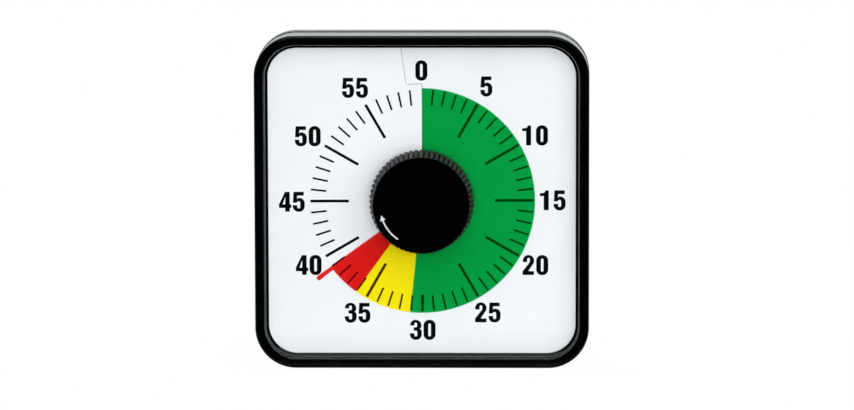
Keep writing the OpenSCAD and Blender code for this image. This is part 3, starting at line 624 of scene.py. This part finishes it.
def build_dial():
    """Card that climbs once round like a screw thread, so that the film can slide out from under its end."""
    tiny = 0.001
    cut_end = 360 - cut_angle - cut_gap
    corner_end = cut_end + degrees(cut_corner_r / cut_r)
    flap_start = -cut_angle - cut_gap + slit_turn
    angles = sorted({*range(ceil(flap_start), 361), flap_start, cut_gap / 2, cut_end, corner_end})
    fillet = [cut_r + cut_corner_r * i / edge_steps for i in range(edge_steps + 1)]
    radii = [dial_hole_r, *fillet, None]
    points, index, faces = [], {}, []

    def vertex(a, j, top):
        """The point at angle a and the j-th radius, on the card's front or back."""
        key = (round(a, 5), j, top)
        if key not in index:
            index[key] = len(points)
            r = radii[j] if radii[j] is not None else rim_r(a, dial_hw)
            if j == 1 and a < 0:
                r += slit_w
            points.append((*clock(r, a), pitch * a / 360 + (dial_t if top else 0)))
        return index[key]

    def is_card(a, j):
        """True if the cell that starts at angle a and the j-th radius is part of the card."""
        return 0 < a < 360 if j == 0 else a < cut_end - tiny

    def add_cell(corners):
        faces.append([vertex(a, j, True) for a, j in corners])
        faces.append([vertex(a, j, False) for a, j in reversed(corners)])

    def add_wall(start, end):
        faces.append([vertex(*start, True), vertex(*start, False), vertex(*end, False), vertex(*end, True)])

    starts = angles[:-1]
    for i, a in enumerate(starts):
        b = angles[i + 1]
        for j in range(len(radii) - 1):
            if not is_card(a, j):
                continue
            add_cell([(a, j), (b, j), (b, j + 1), (a, j + 1)])
            if j == 0 or (not is_card(a, j - 1)):
                add_wall((b, j), (a, j))
            if j == len(radii) - 2 or not is_card(a, j + 1):
                if not (j == 0 and cut_end - tiny < a < corner_end - tiny):
                    add_wall((a, j + 1), (b, j + 1))
            if i == 0 or not is_card(starts[i - 1], j):
                add_wall((a, j), (a, j + 1))
            if (i + 1 == len(starts) or not is_card(b, j)) and not (j and j < len(radii) - 2):
                add_wall((b, j + 1), (b, j))

    # The cut's inner corner is round: the card reaches past its straight end by the arc's distance
    def reach(j):
        away = cut_corner_r - sqrt(cut_corner_r ** 2 - (fillet[-1] - radii[j]) ** 2)
        return cut_end + degrees(away / cut_r)

    for j in range(1, len(fillet)):
        inner = (corner_end if j == 1 else reach(j), j)
        outer = (reach(j + 1), j + 1)
        ends = [(cut_end, j), inner, outer, (cut_end, j + 1)]
        add_cell(ends if j + 1 < len(fillet) else ends[:3])
        add_wall(outer, inner)
    dial = new_object("dial_card", points, faces, dial_white, sharp_angle=40)
    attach(dial, "case")
    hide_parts("dial_plate")


def dial_top(x, y):
    """Level of the dial's front at a flat point."""
    a, r = clock_angle(x, y), hypot(x, y)
    if r > cut_r and a > 360 - cut_angle:
        a -= 360
    return pitch * a / 360 + dial_t


def rounded(corners, steps=7):
    """A closed outline whose corners (x, y, radius) are rounded off."""
    points = []
    for k, (x, y, r) in enumerate(corners):
        here = Vector((x, y))
        if not r:
            points.append(here)
            continue
        before = (Vector(corners[k - 1][:2]) - here).normalized()
        after = (Vector(corners[(k + 1) % len(corners)][:2]) - here).normalized()
        half = before.angle(after) / 2
        centre = here + (before + after).normalized() * (r / sin(half))
        start, end = here + before * (r / tan(half)) - centre, here + after * (r / tan(half)) - centre
        turn = start.angle_signed(end)
        for i in range(steps + 1):
            c, s = cos(-turn * i / steps), sin(-turn * i / steps)
            points.append(centre + Vector((start.x * c - start.y * s, start.x * s + start.y * c)))
    return points


def spread(points, amount):
    """A closed outline moved outwards by an amount."""
    moved = []
    if sum(points[k - 1].cross(point) for k, point in enumerate(points)) < 0:
        amount = -amount
    for k, point in enumerate(points):
        before = (point - points[k - 1]).normalized()
        after = (points[(k + 1) % len(points)] - point).normalized()
        across = Vector((before.y + after.y, -before.x - after.x))
        moved.append(point + across * (2 * amount / max(across.length_squared, 1.0)))
    return moved


def figure_outlines():
    """The figures 0 to 5 in a bold narrow hand, as closed outlines from their lower left corner."""
    w, h, bar = figure_w, figure_h, 1.95
    stem, bowl, hollow = 2.45, 3.1, 0.8
    inner = w - stem
    zero = [[(0, -0.1, bowl), (w, -0.1, bowl), (w, h + 0.1, bowl), (0, h + 0.1, bowl)],
            [(stem, bar - 0.2, hollow), (inner, bar - 0.2, hollow),
             (inner, h + 0.2 - bar, hollow), (stem, h + 0.2 - bar, hollow)]]
    one = [[(2.25, 0, 0), (4.9, 0, 0), (4.9, h, 0), (3.25, h, 0), (2.6, 9.75, 0.9), (0, 9.5, 0), (0, 8.1, 0),
            (2.25, 8.1, 0)]]
    two = [[(0.1, 0, 0), (6.4, 0, 0), (6.4, 2.0, 0), (3.0, 2.0, 0.4), (6.5, 7.2, 3.0), (6.5, h + 0.1, bowl),
            (0.2, h + 0.1, bowl), (0.2, 7.4, 0), (2.5, 7.4, 0), (2.5, 9.8, 0.9), (4.25, 9.8, 0.85),
            (4.25, 7.3, 2.0), (0.1, 2.0, 0.8)]]
    three = [[(0, -0.1, bowl), (w, -0.1, bowl), (w, 5.5, 1.4), (5.0, 6.2, 0.3), (6.4, 6.8, 1.2),
              (6.4, h + 0.1, bowl), (0.1, h + 0.1, bowl), (0.1, 8.2, 0), (2.4, 8.2, 0), (2.4, 9.8, 0.8),
              (4.15, 9.8, 0.85), (4.15, 6.95, 0.85), (2.2, 6.95, 0), (2.2, 5.2, 0), (4.25, 5.2, 0.9),
              (4.25, 1.65, 0.9), (2.35, 1.65, 0.9), (2.35, 3.5, 0), (0, 3.5, 0)]]
    four = [[(3.55, 0, 0), (5.95, 0, 0), (5.95, 2.1, 0), (6.85, 2.1, 0), (6.85, 3.95, 0), (5.95, 3.95, 0),
             (5.95, h, 0), (3.5, h, 0), (0, 3.95, 0), (0, 2.1, 0), (3.55, 2.1, 0)],
            [(1.85, 3.95, 0), (3.6, 3.95, 0), (3.6, 8.4, 0)]]
    five = [[(0, -0.1, bowl), (w, -0.1, bowl), (w, 7.65, 2.9), (3.0, 7.65, 0.8), (2.3, 7.0, 0),
             (2.4, h - bar, 0), (6.1, h - bar, 0), (6.1, h, 0), (0.5, h, 0), (0.1, 5.1, 0), (2.15, 5.1, 0.3),
             (2.5, 5.9, 0.8), (4.25, 5.9, 0.9), (4.25, 1.65, 0.9), (2.35, 1.65, 0.9), (2.35, 3.5, 0),
             (0, 3.5, 0)]]
    return [zero, one, two, three, four, five]


def flat_print(name, shapes, material, height):
    """A thin print of closed outlines, where height says the level of the surface under a flat point."""
    curve = bpy.data.curves.new(name, "CURVE")
    curve.dimensions, curve.fill_mode, curve.extrude = "2D", "BOTH", 0.5
    for shape in shapes:
        spline = curve.splines.new("POLY")
        spline.points.add(len(shape) - 1)
        for point, (x, y) in zip(spline.points, shape):
            point.co = (x, y, 0, 1)
        spline.use_cyclic_u = True
    carrier = bpy.data.objects.new(name, curve)
    bpy.context.scene.collection.objects.link(carrier)
    bpy.context.view_layer.update()
    flat = bpy.data.meshes.new_from_object(carrier.evaluated_get(bpy.context.evaluated_depsgraph_get()))
    # The curve's own thickness only tells the print's front from its back
    places = [v.co for v in flat.vertices]
    points = [(p.x, p.y, height(p.x, p.y) + (ink_t if p.z > 0 else -ink_t)) for p in places]
    faces = [tuple(f.vertices) for f in flat.polygons]
    bpy.data.objects.remove(carrier)
    return new_object(name, points, faces, material, sharp_angle=30)


def tick_shapes():
    """The minute marks: long ones every five minutes, none at 0 and a short thick one at 30."""
    shapes = []
    for minute in range(1, minutes):
        start, width = long_tick if minute % figure_step == 0 else short_tick
        if minute == minutes / 2:
            start, width = thick_tick
        a = minute * minute_turn + print_turn
        along, across = Vector(clock(1, a)), Vector(clock(1, a + 90)) * width / 2
        steps = ceil((tick_end_r - start) / tick_step)
        rail = [along * (start + (tick_end_r - start) * i / steps) for i in range(steps + 1)]
        shapes.append([p - across for p in rail] + [p + across for p in reversed(rail)])
    return shapes


def figure_shapes():
    """The figures at every five minutes, upright and centred on their circle."""
    outlines = figure_outlines()
    shapes = []
    for number in range(0, minutes, figure_step):
        digits = [int(d) for d in str(number)]
        width = len(digits) * figure_w + (len(digits) - 1) * figure_gap
        centre = Vector(clock(figure_r, number * minute_turn + print_turn))
        centre += Vector(figure_offsets.get(number, (0, 0)))
        for k, digit in enumerate(digits):
            corner = centre + Vector((k * (figure_w + figure_gap) - width / 2, -figure_h / 2))
            for hole, shape in enumerate(outlines[digit]):
                line = spread(rounded(shape), -ink_gain if hole else ink_gain)
                shapes.append([corner + p for p in line])
    return shapes


def build_print():
    for name, shapes in (("minute_marks", tick_shapes()), ("figures", figure_shapes())):
        mark = flat_print(name, shapes, ink_black, dial_top)
        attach(mark, "case")


# ---------------------------------------------------------------- knob
def knob_ring(r, z, ribs):
    """A ring with rounded ribs and grooves; ribs is the share of their full height."""
    count = knob_ribs * rib_steps
    ring = []
    for i in range(count):
        groove = ((1 - cos(2 * pi * i / rib_steps)) / 2) ** 2
        radius = r - rib_h * ribs * groove
        ring.append((radius * cos(2 * pi * i / count), radius * sin(2 * pi * i / count), z))
    return ring


def build_knob():
    """Hollow knob cap with a ribbed grip and a flat face."""
    z_base = z_knob_face - knob_h
    z_face = z_knob_face - ink_t
    side_top = z_face - rib_fade
    rings = [knob_ring(knob_face_r - knob_wall, z_face - knob_wall, 0),
             knob_ring(knob_face_r - knob_wall, z_base, 0),
             knob_ring(knob_base_r - base_chamfer, z_base, 1),
             knob_ring(knob_base_r, z_base + base_chamfer, 1)]
    for i in range(1, side_steps + 1):
        share = i / side_steps
        rings.append(knob_ring(knob_base_r + (knob_face_r + side_gain - knob_base_r) * share,
                               z_base + base_chamfer + (side_top - z_base - base_chamfer) * share, 1))
    rings.append(knob_ring(knob_face_r + edge_gain, side_top + (rib_fade - face_edge_r) / 2, edge_ribs))
    for i in range(edge_steps + 1):
        a = radians(90 * i / edge_steps)
        rings.append(knob_ring(knob_face_r - face_edge_r * (1 - cos(a)), z_face - face_edge_r * (1 - sin(a)),
                               face_ribs * (1 - i / edge_steps)))
    points, faces = loft(rings, False)
    knob = new_object("knob_cap", points, faces, knob_black, sharp_angle=50)
    knob.data.materials.append(knob_plate)
    for face in knob.data.polygons:
        if level(face.center.y) > z_face - face_edge_r * 0.9 and face.normal.y < -0.2:
            face.material_index = 1
    weigh_normals(knob)
    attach(knob, "winder")
    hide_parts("knob")


def build_arrow():
    """White curved arrow on the knob's face, which says which way to wind."""
    head_l, head_w = arrow_head
    neck = arrow_tip - degrees(head_l / arrow_r)
    turns = [arrow_tail + (neck - arrow_tail) * i / arrow_steps for i in range(arrow_steps + 1)]
    line = [clock(arrow_r - arrow_w / 2, a) for a in turns]
    line += [clock(arrow_r - head_w / 2, neck), clock(arrow_r, arrow_tip), clock(arrow_r + head_w / 2, neck)]
    line += [clock(arrow_r + arrow_w / 2, a) for a in reversed(turns)]
    arrow = flat_print("winding_arrow", [line], ink_white, lambda x, y: z_knob_face - ink_t)
    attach(arrow, "winder")


# ---------------------------------------------------------------- disc
def let_out(place):
    """A film point's place, with the rim a little further out, and the pointer's tip wider and longer."""
    x, y = place.x / MM, (place.z - middle_z) / MM
    flat = Vector((x, y)) * (1 + rim_gain / film_r)
    along, across = Vector(clock(1, pointer_turn)), Vector(clock(1, pointer_turn - 90))
    if flat.length > film_r + rim_gain + 1:
        share = flat.dot(across) / pointer_w
        flat += along * pointer_l_gain + across * pointer_w_gain * share
    return at(flat.x, flat.y, level(place.y))


def build_films():
    """Each coloured film is one sheet, the front of its CAD piece: light crosses it once each way."""
    for name, material in (("disc_green", film_green), ("disc_yellow", film_yellow), ("disc_red", film_red)):
        mesh = bpy.data.meshes.new(name + "_sheet")
        work = bmesh.new()
        work.from_mesh(nodes[name].data)
        hidden = [face for face in work.faces if face.normal.y > -0.5]
        bmesh.ops.delete(work, geom=hidden, context="FACES")
        for vertex in work.verts:
            vertex.co = let_out(vertex.co)
        work.to_mesh(mesh)
        work.free()
        sheet = bpy.data.objects.new(name + "_sheet", mesh)
        bpy.context.scene.collection.objects.link(sheet)
        mesh.materials.clear()
        mesh.materials.append(material)
        smooth(sheet)
        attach(sheet, "colour_disc")
        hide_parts(name)


# ---------------------------------------------------------------- pieces that keep their CAD shape
def smoothing_group():
    """Geometry nodes that weld the imported faces and shade them smooth below an angle."""
    group = bpy.data.node_groups.new("smooth_by_angle", "GeometryNodeTree")
    group.interface.new_socket("Geometry", in_out="INPUT", socket_type="NodeSocketGeometry")
    group.interface.new_socket("Geometry", in_out="OUTPUT", socket_type="NodeSocketGeometry")
    add, link = group.nodes.new, group.links.new
    start, end = add("NodeGroupInput"), add("NodeGroupOutput")
    forget = add("GeometryNodeRemoveAttribute")
    forget.inputs["Name"].default_value = "custom_normal"
    weld = add("GeometryNodeMergeByDistance")
    weld.inputs["Distance"].default_value = 1e-6
    faces, edges = add("GeometryNodeSetShadeSmooth"), add("GeometryNodeSetShadeSmooth")
    edges.domain = "EDGE"
    edges.inputs["Shade Smooth"].default_value = False
    angle, over = add("GeometryNodeInputMeshEdgeAngle"), add("FunctionNodeCompare")
    over.data_type, over.operation = "FLOAT", "GREATER_THAN"
    over.inputs[1].default_value = radians(SHARP_ANGLE)
    link(start.outputs[0], forget.inputs["Geometry"])
    link(forget.outputs[0], weld.inputs["Geometry"])
    link(weld.outputs[0], faces.inputs["Geometry"])
    link(faces.outputs[0], edges.inputs["Geometry"])
    link(angle.outputs["Unsigned Angle"], over.inputs[0])
    link(over.outputs[0], edges.inputs["Selection"])
    link(edges.outputs[0], end.inputs[0])
    return group


NODE_MATERIALS = {
    back_black: ["rear_housing"],
    leg_black: ["stand_leg"],
    inner_grey: ["dial_carrier"],
    rubber: ["stand_pad"],
    magnet_nickel: ["magnets"],
    dark_screw: ["case_screws"],
    hub_white: ["disc_hub"],
    steel: ["carrier_screws", "movement_screws", "main_shaft", "ratchet_wheel", "click_pawl", "second_arbor",
            "third_arbor", "escape_arbor", "pallet_arbor", "pallet_lever", "pillars", "pillar_nuts",
            "hammer_pivot", "hammer_arm", "bell_post", "bell_screw", "stand_pin"],
    sheet_steel: ["spring_barrel", "barrel_cover"],
    spring_steel: ["mainspring", "click_spring"],
    brass: ["main_wheel", "strike_cam", "second_wheel", "third_wheel", "escape_wheel", "balance_wheel",
            "front_plate", "back_plate", "hammer_head"],
    bell_nickel: ["bell"],
}


def dress_nodes():
    group = smoothing_group()
    for material, names in NODE_MATERIALS.items():
        for name in names:
            obj = nodes[name]
            for holder in obj.material_slots:
                holder.link, holder.material = "OBJECT", material
            obj.modifiers.new("Smooth", "NODES").node_group = group
            weigh_normals(obj)


# ---------------------------------------------------------------- studio
camera_distance = 2.6
camera_elevation = 7.3
camera_azimuth = 1.2
camera_roll = -0.12
camera_aim = Vector((0.0033, 0.0, 0.0954))
pixels_per_mm = 1.778
image_width = 854
sensor_width = 36.0


def build_camera():
    data = bpy.data.cameras.new("camera")
    data.sensor_width = sensor_width
    front = cad_box[0].y
    data.lens = pixels_per_mm / MM * camera_distance * data.sensor_width / image_width
    data.clip_end = 50
    camera = bpy.data.objects.new("camera", data)
    bpy.context.scene.collection.objects.link(camera)
    e, a = radians(camera_elevation), radians(camera_azimuth)
    aim = Vector((camera_aim.x, front, camera_aim.z))
    back = Vector((cos(e) * sin(a), -cos(e) * cos(a), sin(e)))
    camera.location = aim + back * camera_distance
    camera.rotation_mode = "QUATERNION"
    roll = Quaternion((0, 0, 1), radians(camera_roll))
    camera.rotation_quaternion = (-back).to_track_quat("-Z", "Y") @ roll
    bpy.context.scene.camera = camera


def build_lamp(name, place, aim, size, power, mirrored):
    """A square soft light. The case mirrors it only if mirrored is true."""
    data = bpy.data.lights.new(name, "AREA")
    data.shape, data.size, data.energy = "SQUARE", size, power
    lamp = bpy.data.objects.new(name, data)
    bpy.context.scene.collection.objects.link(lamp)
    lamp.location = place
    lamp.visible_glossy = mirrored
    lamp.visible_camera = False
    lamp.rotation_mode = "QUATERNION"
    lamp.rotation_quaternion = (Vector(aim) - Vector(place)).to_track_quat("-Z", "Y")


def build_world():
    """A white studio, brighter above. In mirrors it is dark behind the camera, so the front looks black."""
    n = Nodes(bpy.data.worlds.new("studio"), "ShaderNodeOutputWorld")
    place, split = n.add("ShaderNodeTexCoord"), n.add("ShaderNodeSeparateXYZ")
    n.link(place.outputs["Generated"], split.inputs[0])
    seen, gloss, plain = (n.add("ShaderNodeBackground") for _ in range(3))
    seen.inputs["Color"].default_value = (1, 1, 1, 1)
    gloss.inputs["Color"].default_value = (0.93, 1.0, 0.98, 1)
    plain.inputs["Color"].default_value = (0.99, 0.995, 1.0, 1)
    n.link(n.remap(split.outputs["Y"], 0.01, 0.85, -0.4, 0.3), gloss.inputs["Strength"])
    n.link(n.remap(split.outputs["Z"], 0.0, 0.45, -0.3, 0.5), plain.inputs["Strength"])
    rays = n.add("ShaderNodeLightPath")
    straight = n.math("MAXIMUM", rays.outputs["Is Camera Ray"], rays.outputs["Is Transmission Ray"])
    mirrored = n.mix(rays.outputs["Is Glossy Ray"], plain, gloss)
    bpy.context.scene.world = n.done(n.mix(straight, mirrored, seen))


def build_floor():
    """Pale floor that the camera sees as white, with a faint shadow under the timer."""
    n = new_material("floor")
    grey, seen_white, white_share = 0.3, 1.08, 0.9
    lit = n.principled(Base_Color=(grey, grey, grey, 1), Roughness=0.9, Specular_IOR_Level=0.0)
    white = n.add("ShaderNodeEmission")
    white.inputs["Color"].default_value = (1, 1, 1, 1)
    white.inputs["Strength"].default_value = seen_white
    share = n.math("MULTIPLY", n.add("ShaderNodeLightPath").outputs["Is Camera Ray"], white_share)
    side, front, rear = 0.6, -0.035, 0.8
    corners = [(-side, front, 0), (side, front, 0), (side, rear, 0), (-side, rear, 0)]
    mesh = bpy.data.meshes.new("floor")
    mesh.from_pydata(corners, [], [(0, 1, 2, 3)])
    mesh.materials.append(n.done(n.mix(share, lit, white)))
    floor = bpy.data.objects.new("floor", mesh)
    bpy.context.scene.collection.objects.link(floor)


# Name, place, width and power of each lamp, and whether the case mirrors it
LAMPS = [("top_key", (0.1, -1.5, 1.5), 1.6, 8.5, True),
         ("right_key", (1.4, -1.6, 0.5), 1.2, 8, False),
         ("front_fill", (0.0, -2.4, 0.2), 1.5, 27.5, False),
         ("low_fill", (0.3, -2.0, -0.6), 1.5, 11, False),
         ("back", (0.2, 1.5, 1.2), 1.0, 10, True),
         ("back_fill", (-0.7, 2.2, 0.7), 1.4, 50, False)]


def build_studio():
    build_camera()
    build_world()
    build_floor()
    for name, place, size, power, mirrored in LAMPS:
        build_lamp(name, place, (0, 0, middle_z), size, power, mirrored)
    bpy.context.scene.view_settings.view_transform = "Standard"


build_bezel()
build_pane()
build_dial()
build_print()
build_knob()
build_arrow()
build_films()
dress_nodes()
build_studio()
